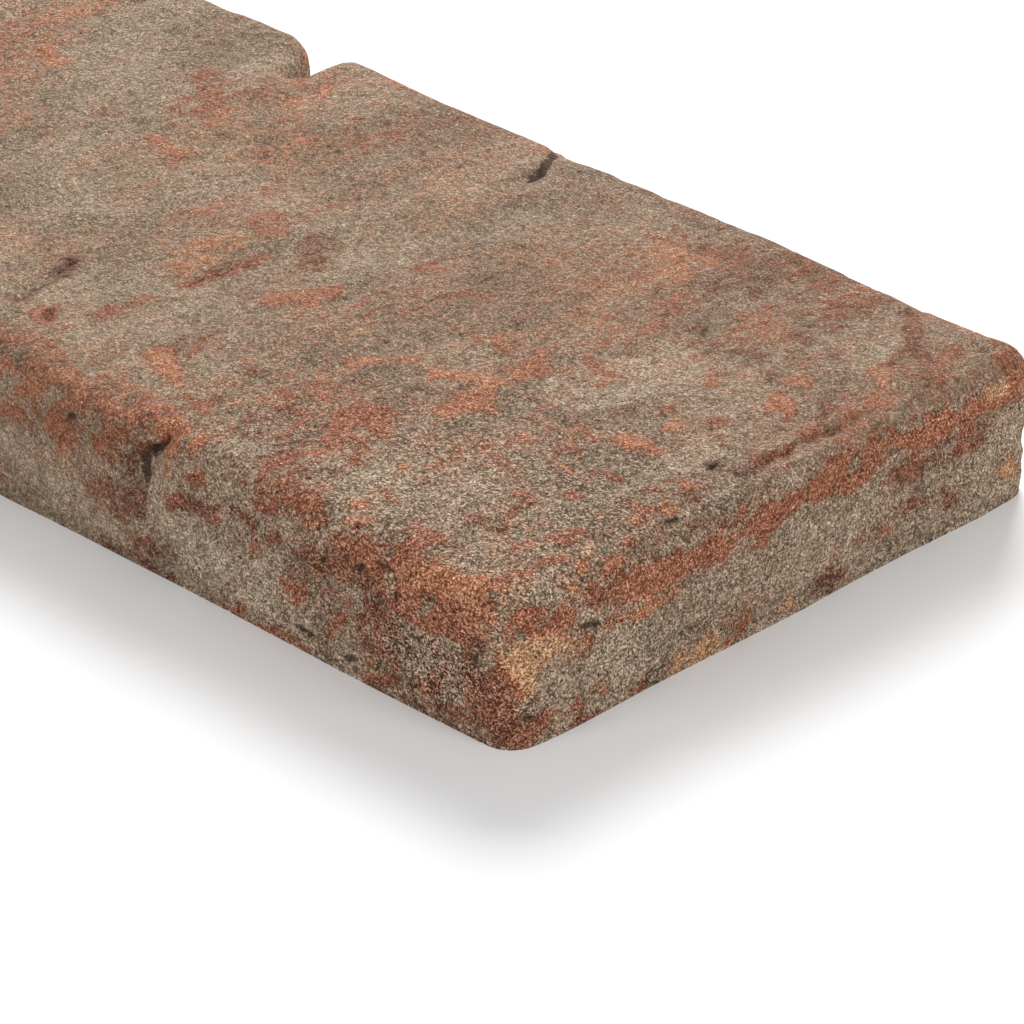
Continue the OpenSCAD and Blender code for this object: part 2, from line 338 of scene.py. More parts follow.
worn_off(end, "brick", (40.5, 10.2, 0.8), (42.5, 9.6, 1), (44, 9.4, 1.2), (46, 9.4, 1.3))
worn_off(end, "brown", (39.8, 7.4, 0.6), (42, 7.2, 0.8), (45, 7.3, 0.7))
worn_off(end, "brown", (47.4, 7.4, 1.1), (49.6, 7.2, 1.2), (50.8, 7.6, 0.8), broken=True)
worn_off(end, "brick", (48.4, 9.4, 0.8), (50.6, 9.6, 0.8), (53, 9.4, 0.9), (55, 10, 1.7))
worn_off(end, "ochre", (51.6, 10.2, 0.4), (52.8, 10.1, 0.4))
worn_off(end, "ochre", (53.6, 3.8, 0.6), (53.8, 2.3, 0.6), broken=True)
worn_off(end, "brick", (7.1, 1.9, 0.5), (7.2, 1.4, 0.4))
worn_off(end, "orange", (8.8, 2.2, 0.3), (9.8, 1.9, 0.25))
worn_off(end, "brick", (12.6, 0.2, 0.3), (13.8, 0.3, 0.35))
worn_off(end, "ochre", (17, 0.3, 0.5), (18.8, 0.6, 0.6), (20.4, 0.8, 0.7), (21.6, 0.9, 0.4))
worn_off(end, "brick", (22.7, 1.1, 0.5), (24, 1.4, 0.6), (24.7, 1.6, 0.5))
worn_off(end, "umber", (32.3, 1.3, 0.6), (33.6, 1.4, 0.7), (34.8, 1.2, 0.4))
worn_off(end, "ochre", (29.3, 1.1, 0.5))
worn_off(end, "orange", (36.8, 3.4, 0.3))
worn_off(end, "rose", (38.6, 3.2, 0.5), (39.6, 3, 0.6), broken=True)
worn_off(end, "brown", (42.6, 4.2, 0.6), (43.8, 4, 0.4))
worn_off(end, "brown", (46.4, 3.3, 0.5), (47.2, 2.7, 0.4))
worn_off(end, "brown", (5.5, 0.1, 0.3), (8.8, 0.1, 0.3))
worn_off(end, "orange", (16.2, 11.7, 0.3), (16.9, 11.6, 0.3))
washed(end, (0.2, 9.6, 0.25), (1.8, 9.7, 0.25))
washed(end, (6.9, 9.9, 0.5), (7.5, 9.3, 0.6), (8.4, 8.7, 0.7), (9.2, 8.3, 0.4))
washed(end, (7.4, 10.4, 0.4), (8.2, 11.6, 0.8), (11, 11.6, 0.6), (15, 11.2, 0.6))
washed(end, (20.2, 9.7, 0.2), (21.4, 9.7, 0.2))
washed(end, (23, 7.7, 0.5), (24.8, 7.7, 0.4))
washed(end, (36, 10.3, 0.3), (36.3, 10.3, 0.25))
washed(end, (38.6, 8.6, 0.5), (40.2, 8.6, 0.4))
washed(end, (28.8, 11.2, 0.6), (31, 11.4, 0.5))

# The face, along the near side and the near end.
worn_off(face, "orange", (3.6, 2.2, 0.9), (4.6, 1.4, 1), (6.4, 0.7, 0.9), (8.5, 0.6, 0.9),
         (11, 0.4, 1))
worn_off(face, "brick", (11.6, 1.2, 0.9), (12, 2.2, 0.8), (11.6, 3.2, 0.9), (13, 3.1, 0.8))
worn_off(face, "brick", (3.9, 2.6, 0.5), (3.7, 3.6, 0.45), (3.4, 5, 0.4), (3.1, 6.4, 0.35),
         (2.8, 7.4, 0.35), (2.3, 8.2, 0.4))
worn_off(face, "brick", (14, 0.3, 1.2), (15.5, 0.2, 0.8))
worn_off(face, "orange", (16.6, 1.8, 0.4), (17.2, 1.3, 0.4))
worn_off(face, "orange", (18.5, 2.9, 0.55))
worn_off(face, "brick", (17.6, 5, 0.4), (18.5, 5.5, 0.5))
worn_off(face, "rose", (21, 1, 0.8), (22, 1.8, 0.9), broken=True)
worn_off(face, "brick", (20.8, 0, 0.9), (23.6, -0.2, 0.9))
worn_off(face, "brick", (6.2, 6, 0.25), (6.1, 7.2, 0.3), (6, 8, 0.25))
worn_off(face, "brown", (8.4, 7.7, 0.4), (9.1, 8.3, 0.35))
worn_off(face, "brown", (10.6, 7.2, 0.4), (11.2, 7.6, 0.35))
worn_off(face, "orange", (1.5, 8.5, 0.5), (1.9, 9.2, 0.6))
worn_off(face, "ochre", (2.3, 10, 0.4), (2.6, 10.5, 0.35))
worn_off(face, "brick", (4.4, 9.4, 0.5), (4.9, 10.4, 0.7), (4.5, 11.1, 0.4))
worn_off(face, "orange", (7.3, 9.8, 0.4), (7.2, 10.3, 0.35))
worn_off(face, "brick", (9.7, 9.6, 0.45), (10.1, 10.4, 0.5))
worn_off(face, "brick", (9.8, 11.8, 0.4), (10.8, 12.2, 0.75), (11.6, 12.7, 0.5))
worn_off(face, "brick", (13.5, 13.8, 0.5), (15, 14.6, 0.7), (16.5, 15.2, 0.6), broken=True)
worn_off(face, "brick", (8.4, 14.7, 0.35), (8.9, 15, 0.3))
worn_off(face, "brick", (5.2, 14.1, 0.35), (5.1, 14.6, 0.3))
worn_off(face, "brick", (2.6, 15.2, 0.4), (3.1, 16.6, 0.6), (3.6, 17.8, 0.4))
worn_off(face, "orange", (2.5, 18.6, 0.35), (3.1, 19, 0.35))
worn_off(face, "brick", (4.6, 17.1, 0.3), (4.6, 17.6, 0.25))
worn_off(face, "brick", (4.8, 20, 0.4))
worn_off(face, "brick", (3.6, 21.7, 0.4), (4.3, 22.3, 0.4))
worn_off(face, "brick", (8.4, 19.4, 0.5), (9.3, 19.1, 0.7), (10.1, 18.5, 0.4))
worn_off(face, "orange", (11, 17, 0.4), (12, 17.4, 0.5))
worn_off(face, "brick", (12.4, 19.5, 0.4), (13.3, 20, 0.7), (14.1, 20.5, 0.4))
worn_off(face, "umber", (14.3, 19, 0.35))
worn_off(face, "orange", (9.8, 24.3, 0.7), (11, 24, 0.8), (12.1, 23.9, 0.7))
worn_off(face, "peach", (10.9, 23.6, 0.4))
worn_off(face, "orange", (13, 23.2, 0.6), (14.6, 22.4, 0.7), (15.4, 22.2, 0.4), broken=True)
worn_off(face, "brown", (14.8, 26.4, 0.7), (15.1, 27.6, 0.6), broken=True)
worn_off(face, "brown", (16.6, 9.7, 0.4), (17.5, 9.3, 0.6), broken=True)
worn_off(face, "orange", (20, 8.8, 0.4))
worn_off(face, "umber", (5.3, 25.6, 0.3), (4.7, 26.1, 0.3), (4.2, 25.6, 0.3))
worn_off(face, "rose", (3.2, 28.4, 0.5), (4, 29.2, 0.6), (4.5, 29.7, 0.4))
worn_off(face, "peach", (10.8, 27.8, 0.7), (11.4, 28.8, 0.5))
worn_off(face, "brick", (9, 30.3, 0.7), (10.2, 29.6, 0.5))
worn_off(face, "brick", (12.6, 30.3, 0.6), (12.9, 29.1, 0.6))
worn_off(face, "brick", (2.6, 27.7, 0.25), (2.9, 29, 0.25), (2.9, 30.3, 0.25), (2.6, 31.5, 0.25),
         (2.8, 33, 0.3), (2.6, 35, 0.4), (2.4, 37, 0.3), (2.2, 38.7, 0.25), (2, 40.2, 0.15))
worn_off(face, "rose", (3.3, 33.6, 0.5), (3.6, 34.8, 0.5), (3.4, 35.8, 0.4))
worn_off(face, "brown", (3.4, 36.2, 0.6), (5, 38.3, 0.8), broken=True)
worn_off(face, "rose", (6.4, 35.4, 0.5), (7.3, 36.2, 0.6), (8.3, 36.6, 0.6), (7.6, 34.6, 0.5))
worn_off(face, "orange", (8.6, 39.2, 0.7), (9.4, 38.6, 0.6))
worn_off(face, "brown", (10.3, 38.3, 0.5), (11.2, 38.6, 0.4))
worn_off(face, "orange", (13.3, 34.3, 0.5), (14, 35, 0.5), (14.4, 36, 0.5))
worn_off(face, "orange", (4.3, 43.6, 0.6), (4.7, 44.4, 0.7), (4.9, 45.2, 0.5))
worn_off(face, "brick", (3.6, 41, 0.4), (3.7, 42.2, 0.6))
worn_off(face, "brick", (2.8, 46.6, 0.7), (3, 47.8, 0.9), (3.4, 48.8, 0.7), (3.8, 50.4, 0.6),
         (4.2, 52, 0.5))
worn_off(face, "brown", (4.8, 48.9, 0.8), (6, 49.3, 0.7), (7.4, 50.6, 0.6), (8.6, 51.8, 0.6),
         (10.7, 53.9, 0.5))
worn_off(face, "brown", (6.3, 48, 0.7), (5.6, 46.9, 0.9), broken=True)
worn_off(face, "orange", (5, 55.4, 0.7), (6.6, 56, 1), (8.2, 55.5, 0.9), (9.8, 55.6, 0.7))
worn_off(face, "brick", (0, 53.5, 1), (1.5, 55.2, 0.8), (3.2, 55.2, 0.8))
worn_off(face, "brown", (8.8, 43.6, 0.5), (10.8, 45, 0.5), broken=True)
worn_off(face, "brown", (13, 44.6, 1), (14.3, 45.9, 1.2), (13.5, 48.4, 1.2), (14.6, 50.4, 1.5),
         (14, 53, 1.4), broken=True)
worn_off(face, "rose", (15.6, 44.4, 0.7), (17.2, 42.8, 0.6), (18.7, 44, 0.6), (19.5, 44.7, 0.4),
         broken=True)
worn_off(face, "brown", (21.8, 44.2, 0.35), (21.2, 41.8, 0.4), (20.2, 40.2, 0.4))
worn_off(face, "brown", (14.6, 40.3, 0.9), (16.6, 38.4, 0.5), (17.9, 39.4, 0.5), broken=True)
worn_off(face, "brick", (22.8, 38, 0.4), (23.2, 39.8, 0.5), (24.2, 41.7, 0.6), (25.3, 43.4, 0.6))
worn_off(face, "orange", (26.8, 44.8, 0.9), (28.6, 46, 1.7), (31, 47.2, 1.7), (27, 48.6, 1),
         broken=True)
worn_off(face, "peach", (28.2, 41.6, 1.1), (29.4, 40.5, 0.9), (28.3, 37.6, 0.9), broken=True)
worn_off(face, "brick", (20, 30.9, 0.6), (21, 30.4, 0.5), (22.7, 31, 0.6), broken=True)
worn_off(face, "rose", (22.5, 20, 0.8), (24.3, 21.3, 1.3), (24.5, 19.4, 1.1), (24.3, 17.2, 0.7))
worn_off(face, "orange", (24.8, 23.2, 1), (26.5, 22.6, 0.7), (29.2, 21.3, 0.7))
worn_off(face, "rose", (24.4, 25, 0.9), (24.6, 27, 1), (25.8, 28.8, 0.8), (26.4, 29.7, 0.5))
worn_off(face, "rose", (27.2, 27.2, 0.6), (29, 28.7, 0.9), (30.6, 27.5, 0.6), broken=True)
worn_off(face, "brick", (25.2, 11.9, 0.8), (26.6, 12.4, 1.1), (28, 13.2, 1.3), (29.3, 13.7, 0.7))
worn_off(face, "brick", (27.4, 14.7, 0.7), (28.5, 11.6, 1.3), (28.2, 9.9, 1.1), (27.4, 8.3, 0.7))
worn_off(face, "brick", (26.6, 9.3, 0.8), (25, 9.6, 0.5), (24, 7.9, 0.6), (23.2, 6.7, 0.45))
worn_off(face, "ochre", (30.7, 11.6, 0.45))
worn_off(face, "brown", (23.8, 4.9, 0.8), (25.2, 3.2, 0.6), (28.2, 5, 0.6), broken=True)
worn_off(face, "umber", (31.8, 5.8, 0.35))
worn_off(face, "orange", (34, 1.2, 0.5), (33.2, 3, 0.5))
worn_off(face, "peach", (41.5, 7.7, 0.5))
worn_off(face, "peach", (36.3, 7.4, 0.4))
worn_off(face, "peach", (40, 12.4, 0.5))
worn_off(face, "brown", (39, 11.4, 0.4))
worn_off(face, "brown", (37.8, 7.2, 0.4), (37.3, 5, 0.4))
worn_off(face, "brown", (44, 8, 0.9), (46.4, 8.4, 1), (46, 11, 0.5), (45.5, 14, 0.4))
worn_off(face, "brick", (46, 13.5, 0.4))

# Wash that is still whole inside the worn places.
washed(face, (1, 4.6, 1.4), (1.6, 3.2, 0.9), (2.2, 2.2, 0.5), (1.9, 1.6, 0.4))
washed(side, (1.8, 11.3, 0.45), (1.6, 10.2, 0.4), (1.7, 9.2, 0.6), (1.9, 8.6, 0.4), (2.6, 7.8, 0.3),
       (3, 7.2, 0.55), (3.2, 6.5, 0.4), (4.4, 6, 0.3))
washed(side, (0.3, 6.5, 0.4))
washed(side, (0.6, 3.6, 0.6))
washed(side, (3, 0.7, 0.6), (4.4, 1, 0.6), (5.4, 0.6, 0.5))
washed(side, (8.2, 9.7, 0.35), (8.6, 9.1, 0.5), (9, 8.4, 0.4))
washed(side, (12.3, 10.3, 0.35), (12.4, 9.4, 0.45), (12.7, 8.5, 0.5))
washed(side, (18, 7.4, 0.7), (19.6, 6.6, 0.8))
washed(side, (42, 1.5, 1), (47, 2.8, 1.5), (53, 4.4, 1.6))
washed(side, (38.3, 9, 0.4), (38.5, 6, 0.5))
washed(side, (44.9, 9.9, 0.5), (45.3, 8.4, 0.7), (45, 6.8, 0.8))
washed(side, (48.6, 11.6, 0.4), (49.6, 10.8, 0.7), (49.8, 9.6, 0.6))
washed(side, (53.4, 11.2, 0.6), (54.4, 9.8, 0.9), (57, 9.4, 1))
washed(face, (48.4, 0.4, 0.4), (49.4, 0.8, 0.4))
washed(face, (54, 1, 0.6), (54.6, 0.2, 0.5))
washed(side, (41.6, 8.2, 0.4), (41.9, 6.4, 0.6))
washed(side, (5.4, 4.9, 0.6), (7.6, 5.4, 0.8), (9.4, 4.2, 0.9), (10.6, 2.9, 0.7))
washed(face, (13.2, 0.5, 0.6))
washed(face, (5.4, 4.2, 1), (7.5, 3.9, 1), (9.4, 2.6, 0.9))
washed(face, (1.3, 42, 0.8), (1, 45.2, 0.6))
washed(face, (1.5, 49.6, 0.9), (1.4, 52, 0.8))

# The face further along.
worn_off(face, "rose", (36.8, 1.5, 0.9), (38.6, 2.4, 1.2), (40.4, 2.2, 1))
worn_off(face, "rose", (41.4, 2.6, 1.3), (44, 2.6, 1.5), (46.4, 1.6, 1.2), broken=True)
worn_off(face, "rose", (43.4, 1.2, 0.7), (45.6, 0.9, 0.8))
worn_off(face, "rose", (36.5, 4.4, 0.35), (39.6, 5.3, 0.4))
worn_off(face, "orange", (41.6, 6.6, 0.8), (44, 7.4, 1), (46, 8.2, 0.8))
worn_off(face, "brick", (44.3, 10, 0.4), (45.2, 13.6, 0.4))
worn_off(face, "orange", (32, 21.5, 0.7), (34.9, 17.8, 0.8), broken=True)
worn_off(face, "ochre", (38, 21.5, 0.6))
worn_off(face, "rose", (44, 22, 0.8), (44.2, 25, 0.8), (46.7, 20.5, 0.9))
worn_off(face, "brick", (52.6, 24.9, 0.5), (53.2, 21.6, 0.9), (53.7, 18, 0.7))
worn_off(face, "brick", (53.9, 14.4, 0.6), (54, 11.4, 0.7), (53.8, 9, 0.5))
worn_off(face, "umber", (62.6, 14.8, 0.8), (61.8, 12, 0.7), (61, 9, 0.5), (60.7, 7, 0.4))
worn_off(face, "brown", (49, 27.4, 1.2), (51, 30, 1.4), broken=True)
worn_off(face, "peach", (55.8, 19.4, 1.2), (56.8, 22.4, 2), (56.6, 25.4, 1.6), broken=True)
worn_off(face, "peach", (57.4, 22.6, 0.9), (57, 24.6, 0.8))
worn_off(face, "rose", (55, 28.6, 1.4), (57.4, 30, 1.6), broken=True)
worn_off(face, "rose", (56.2, 28.2, 0.8), (57.4, 29, 0.7))
worn_off(face, "brick", (56.3, 6, 0.9), (57.2, 7, 1.1))
worn_off(face, "rose", (48.5, 1.6, 1.2), (51.8, 2.4, 1.4), (55.4, 2.6, 1.5), (59, 2.4, 1.5),
         broken=True)
worn_off(face, "rose", (50.6, 0.8, 0.6), (52.4, 1.2, 0.8))
worn_off(face, "rose", (56.4, 2.2, 0.8), (58.6, 2, 0.8))
worn_off(face, "brick", (76.6, 42, 1.1), (80, 44.6, 1.2), broken=True)
worn_off(face, "orange", (70.4, 32.5, 0.8), (74.2, 33.6, 0.8))
worn_off(face, "orange", (90.8, 37.4, 0.9), (93.6, 38.6, 0.9))

# How pale the wash is, from dark grey to pale beige.
wash_tone = 0.5 + 0.35 * lumps(skin, 8, shift=5.5) + 0.3 * lumps(skin, 3, (1, 1.8, 1), 1.1)


def wash_shade(plane, level, *spots):
    """The wash is darker or paler than elsewhere over a stroke."""
    global wash_tone
    share = step(inside(plane, spots), -1, 0.6)
    wash_tone = wash_tone * (1 - share) + level * share


wash_shade(side, 0.85, (23, 3, 1.6), (28, 3.6, 2), (34, 3.4, 1.6))
wash_shade(side, 0.8, (43, 2.2, 1), (48, 3.2, 1.4), (54, 4.5, 1.6))
wash_shade(side, 0.8, (36.8, 9.5, 0.6), (37.4, 7, 0.8), (37.6, 5, 0.6))
wash_shade(side, 0.3, (5, 5.5, 1.5), (9, 5, 2.5), (13, 3.5, 2))
wash_shade(face, 0.75, (5, 30, 1), (7, 28.5, 1.8), (6.5, 24, 1.2))
wash_shade(face, 0.7, (9, 49.6, 0.8), (8.6, 48, 1.4), (10.4, 47.4, 1.2))
wash_shade(face, 0.8, (18, 29, 2), (20, 26.5, 2.5), (18, 36, 2.5))
wash_shade(face, 0.25, (22.8, 12.2, 0.6), (23.2, 10.4, 0.8), (22.8, 9.4, 0.4))

# ---- Cracks, folds and pits -----------------------------------------------------------------
# Folds opened as the clay was pressed, cracks as it dried, and tumbling knocked out grains. Each
# is real relief in the skin, and its colour is darkened there as painted shade.

crack_shade = np.zeros(len(skin))         # painted shade in cracks and holes, from 0 to 1
sunk = np.zeros(len(skin))          # depth below the skin, in mm


def crack(plane, depth, painted_shade, *spots):
    """A crack or hollow along a stroke, deepest on its middle line, darkened with painted shade."""
    global crack_shade, sunk
    within = inside(plane, spots) - 0.05
    widest = max(spot[2] for spot in spots)
    sunk = np.maximum(sunk, depth * step(within, -0.25, widest * 0.8))
    crack_shade = np.maximum(crack_shade, painted_shade * step(within, -0.3, widest * 0.35))


crack(side, 0.3, 1, (10.6, 10.7, 0.2))
crack(side, 0.2, 0.9, (8.8, 10.2, 0.15), (9.3, 10.4, 0.15))
crack(side, 0.3, 1, (12.2, 10.5, 0.15), (13, 10.8, 0.2), (14.3, 10.7, 0.15))
crack(side, 0.3, 0.9, (11.6, 9.2, 0.2), (11.7, 8.5, 0.25))
crack(side, 0.6, 1, (15.2, 9.9, 0.25), (15.8, 9.5, 0.4))
crack(side, 0.3, 1, (17.6, 9.1, 0.25))
crack(side, 0.3, 1, (19.2, 8.7, 0.2), (19.6, 8.5, 0.2))
crack(side, 0.3, 0.8, (13.3, 7.8, 0.3), (13.8, 7.4, 0.3))
crack(side, 0.3, 0.8, (8.2, 9.9, 0.25), (8.7, 9.5, 0.2))
crack(side, 0.3, 0.8, (12.2, 4.6, 0.2), (11.7, 4, 0.3))
crack(side, 0.3, 0.7, (4, 7.4, 0.25), (4.1, 6.2, 0.25))
crack(side, 0.3, 1, (8.5, 2.9, 0.25), (8.1, 3, 0.2))
crack(side, 0.3, 1, (6.1, 3.7, 0.15), (5.7, 3.1, 0.15))
crack(side, 0.3, 0.9, (11.8, 2, 0.15), (12.8, 1.9, 0.2), (14.2, 2.2, 0.15))
crack(side, 0.5, 1, (16.2, 1.7, 0.25), (17.2, 1.4, 0.4), (18, 1.4, 0.3))
crack(side, 0.7, 1, (18.8, 1.9, 0.25), (20.2, 1.6, 0.4), (21.6, 1.5, 0.4), (22.6, 1.8, 0.25))
crack(side, 0.1, 0.6, (28, 4.7, 0.3), (28.9, 4.7, 0.3))
crack(side, 0.8, 1, (37.2, 11.4, 0.25), (37.6, 10.6, 0.4), (38.3, 10.1, 0.4))
crack(side, 0.6, 0.9, (38.8, 9.6, 0.4), (39.1, 8.6, 0.45), (39.2, 7.4, 0.4), (39.2, 6.2, 0.25))
crack(side, 0.5, 1, (38.8, 4.4, 0.4))
crack(side, 0.4, 0.8, (46.8, 9.9, 0.4), (47.5, 9.5, 0.4))
crack(end, 0.4, 1, (1.8, 2.6, 0.2), (2.2, 2.5, 0.3), (2.7, 2.3, 0.2))
crack(end, 0.3, 0.9, (3.2, 2.4, 0.2))
crack(end, 0.4, 1, (7.3, 7.9, 0.2), (8.2, 7.8, 0.25), (8.8, 7.7, 0.2))
crack(end, 0.3, 1, (8.9, 7.7, 0.2), (9.2, 7.7, 0.2))
crack(end, 0.1, 0.8, (8, 10.7, 0.3))
crack(end, 0.4, 1, (17.3, 12, 0.25), (18, 11.9, 0.35), (18.8, 11.9, 0.25))
crack(end, 0.2, 1, (19.6, 12, 0.15), (20.4, 12.1, 0.15))
crack(end, 0.3, 1, (13.2, 3.1, 0.2), (13.4, 2.8, 0.2))
crack(end, 0.3, 0.9, (17.7, 3, 0.25), (18.2, 2.8, 0.2))
crack(end, 0.2, 0.9, (14, 0.8, 0.15), (14.9, 1.2, 0.15), (15.3, 0.9, 0.15), (16.2, 1, 0.15))
crack(end, 0.2, 0.7, (24.2, 4.9, 0.3))
crack(end, 0.2, 0.7, (26.1, 5.9, 0.25), (26.7, 5.8, 0.25))
crack(end, 0.2, 0.6, (40, 2, 0.3), (40.8, 1.8, 0.3))
crack(end, 0.3, 0.7, (47.5, 9.4, 0.3), (48.4, 9, 0.3))
crack(face, 0.3, 0.9, (10.2, 3.2, 0.2), (9.4, 3.4, 0.2), (8.7, 4, 0.2))
crack(face, 0.1, 0.45, (9.4, 4.2, 0.5), (10.2, 5.6, 0.6))
crack(face, 0.1, 0.8, (3.8, 9.4, 0.3))
crack(face, 0.1, 0.7, (2.6, 5.2, 0.35))
crack(face, 0.1, 0.8, (1.3, 12.4, 0.25))
crack(face, 0.2, 0.7, (0.8, 8.3, 0.3), (0.7, 7.6, 0.3))
crack(face, 0.1, 0.7, (12.2, 11.8, 0.3))
crack(face, 0.5, 1, (4.7, 25.4, 0.4), (4.8, 25.9, 0.25))
crack(face, 0.3, 0.4, (2.6, 27.7, 0.2), (2.9, 29, 0.2), (2.9, 30.3, 0.2), (2.6, 31.5, 0.2),
      (2.8, 33, 0.2), (2.6, 35, 0.3), (2.4, 37, 0.2), (2.2, 38.7, 0.2), (2, 40.2, 0.1))
crack(face, 0.2, 0.7, (14.2, 18.8, 0.3))
crack(face, 0.2, 0.7, (2.2, 46, 0.3))
crack(face, 0.2, 0.7, (1.5, 47, 0.3))
crack(face, 0.2, 0.6, (10, 49.6, 0.3), (11.8, 48.6, 0.3))
crack(face, 0.2, 0.6, (25.8, 39.4, 0.4))
crack(face, 0.2, 0.5, (21.3, 33.8, 0.35))
crack(face, 0.4, 0.7, (52.7, 24, 0.35), (53.3, 20.5, 0.45), (53.8, 17, 0.35))
crack(face, 0.3, 0.6, (53.9, 15, 0.3), (54.1, 11, 0.35), (53.8, 8.6, 0.3))
crack(face, 0.5, 0.55, (62.4, 14, 0.4), (61.6, 11, 0.4), (60.8, 7, 0.35))
crack(face, 0.4, 0.5, (56.5, 6.2, 0.5), (57, 7, 0.5))
crack(face, 0.5, 1, (47.6, 48.6, 0.3), (48.2, 51.6, 0.5), (49.6, 54.4, 0.5), (51, 56, 0.3))
crack(face, 0.3, 0.6, (74.6, 34, 0.3), (75.4, 36.6, 0.4))
crack(face, 0.3, 0.6, (74.3, 44, 0.3), (74.8, 46, 0.3))

# Grains and larger chips knocked out at random: how many, their smallest and largest radius, and
# how deep the deepest is.
knocked_out = ((700, 0.25, 0.6, 0.2), (120, 0.6, 1.2, 0.3))
# How dark the painted shade is in each knocked-out hole.
hole_shade = 0.25
chance = np.random.default_rng(23)
for count, smallest, largest, deepest in knocked_out:
    for k in chance.choice(len(skin), count, replace=False):
        radius = chance.uniform(smallest, largest)
        around = np.flatnonzero(np.abs(skin - skin[k]).max(axis=1) < radius)
        gap = np.linalg.norm(skin[around] - skin[k], axis=1)
        bowl = step(radius - gap, 0, radius * 0.7)
        sunk[around] = np.maximum(sunk[around], deepest * chance.uniform(0.4, 1) * bowl)
        crack_shade[around] = np.maximum(crack_shade[around], hole_shade * bowl)

# How coarse the sand is: coarsest at the near corner, and crusted low on the near side.
from_corner = np.hypot(along, 1.3 * across)
crusted = step(inside(side, ((4.5, 5, 1.5), (8, 4.5, 2.5), (12, 4.5, 2))), -1, 1)
coarseness = 1 - 0.48 * step(from_corner, 8, 55)
coarseness += 0.3 * (1 - on_top) * step(from_corner, 20, 55) * step(across, 12, 20)
coarseness += 0.22 * on_top * step(along, 80, 120)
coarseness += 0.5 * crusted

# The general relief: drag lumps across the face and coarse sand in the wash. It is softer where
# the arrises are rubbed, and nearly gone at the foot of the sides.
clay_share = step(bare, -0.3, 0.3)
above_foot = step(up, 0, 1.5)
rubbed = np.maximum(step(4 - from_far_side, 0, 2), step(4 - across, 0, 2) * step(along, 45, 65))
rubbed *= step(up, top - 4, top - 2)
relief = 0.3 * lumps(skin, 3.4, (1, 2.2, 1), 2.9) + 0.3 * lumps(skin, 1.6, (1, 2, 1), 6.3)
relief += (0.35 - 0.15 * clay_share) * lumps(skin, 0.85, (1, 1.3, 1), 1.9)
relief *= (0.1 + 0.9 * above_foot) * (1 - 0.6 * rubbed)
relief += 0.1 * clay_share * above_foot - sunk
skin = skin + relief[:, None] * normals_of(skin)
skin = np.clip(skin, low, high)
skin[rim_back, 2] = back

slip = bpy.data.meshes.new("brick_tile_skin")
slip.from_pydata((skin / 1000).tolist(), [], quads.tolist() + [rim_back.tolist()])
for name, values in (("bare", bare), ("tone", tone), ("wash_tone", wash_tone), ("painted_shade", crack_shade),
                     ("coarseness", coarseness)):
    kept_values = slip.attributes.new(name, "FLOAT", "POINT").data
    kept_values.foreach_set("value", values.astype(np.float32))
smooth = np.ones(len(slip.polygons), bool)
smooth[-1] = False
slip.polygons.foreach_set("use_smooth", smooth)
rim_points = set(rim_back.tolist())
for back_edge in slip.edges:
    if rim_points.issuperset(back_edge.vertices):
        back_edge.use_edge_sharp = True

# The skin unrolled flat on a square sheet, in mm, each part from a corner of its own. The quads
# of the face come first, then every ring of the sides from the top down, then the back.
sheet_side = 200
unrolled = {"face": (2, 2), "back": (2, 63), "near side": (2, 124), "far side": (2, 140),
            "far end": (2, 156), "near end": (62, 156)}
strips = (("near side", nx, 0), ("far end", ny, 1), ("far side", nx, 0), ("near end", ny, 1))
corners = np.zeros(len(slip.loops), int)
slip.loops.foreach_get("vertex_index", corners)
net_at = net[corners]
runs = np.stack([near_end - net_at[:, 0], net_at[:, 1] - near_side], -1)
flat = runs + unrolled["face"]
placed = 4 * nx * ny
for _ in levels:
    for name, count, axis in strips:
        here = slice(placed, placed + 4 * count)
        flat[here] = np.stack([runs[here, axis], net_at[here, 2]], -1) + unrolled[name]
        placed += 4 * count
flat[placed:] = runs[placed:] + unrolled["back"]
slip.uv_layers.new(name="OFBake").data.foreach_set("uv", (flat / sheet_side).ravel())

tile = bpy.data.objects.new("brick_tile_slip", slip)
bpy.context.scene.collection.objects.link(tile)


# ---- The finish -----------------------------------------------------------------------------
# Red clay with fine grog in it, under a thin wash of pale sand whose grains stand apart. The
# material breaks the edge between them up grain by grain.

def colour(red, green, blue):
    """A colour given as it shows on a screen, from 0 to 255, in the numbers that shaders use."""
    return [((c / 255 + 0.055) / 1.055) ** 2.4 if c > 10 else c / 255 / 12.92
            for c in (red, green, blue)] + [1]


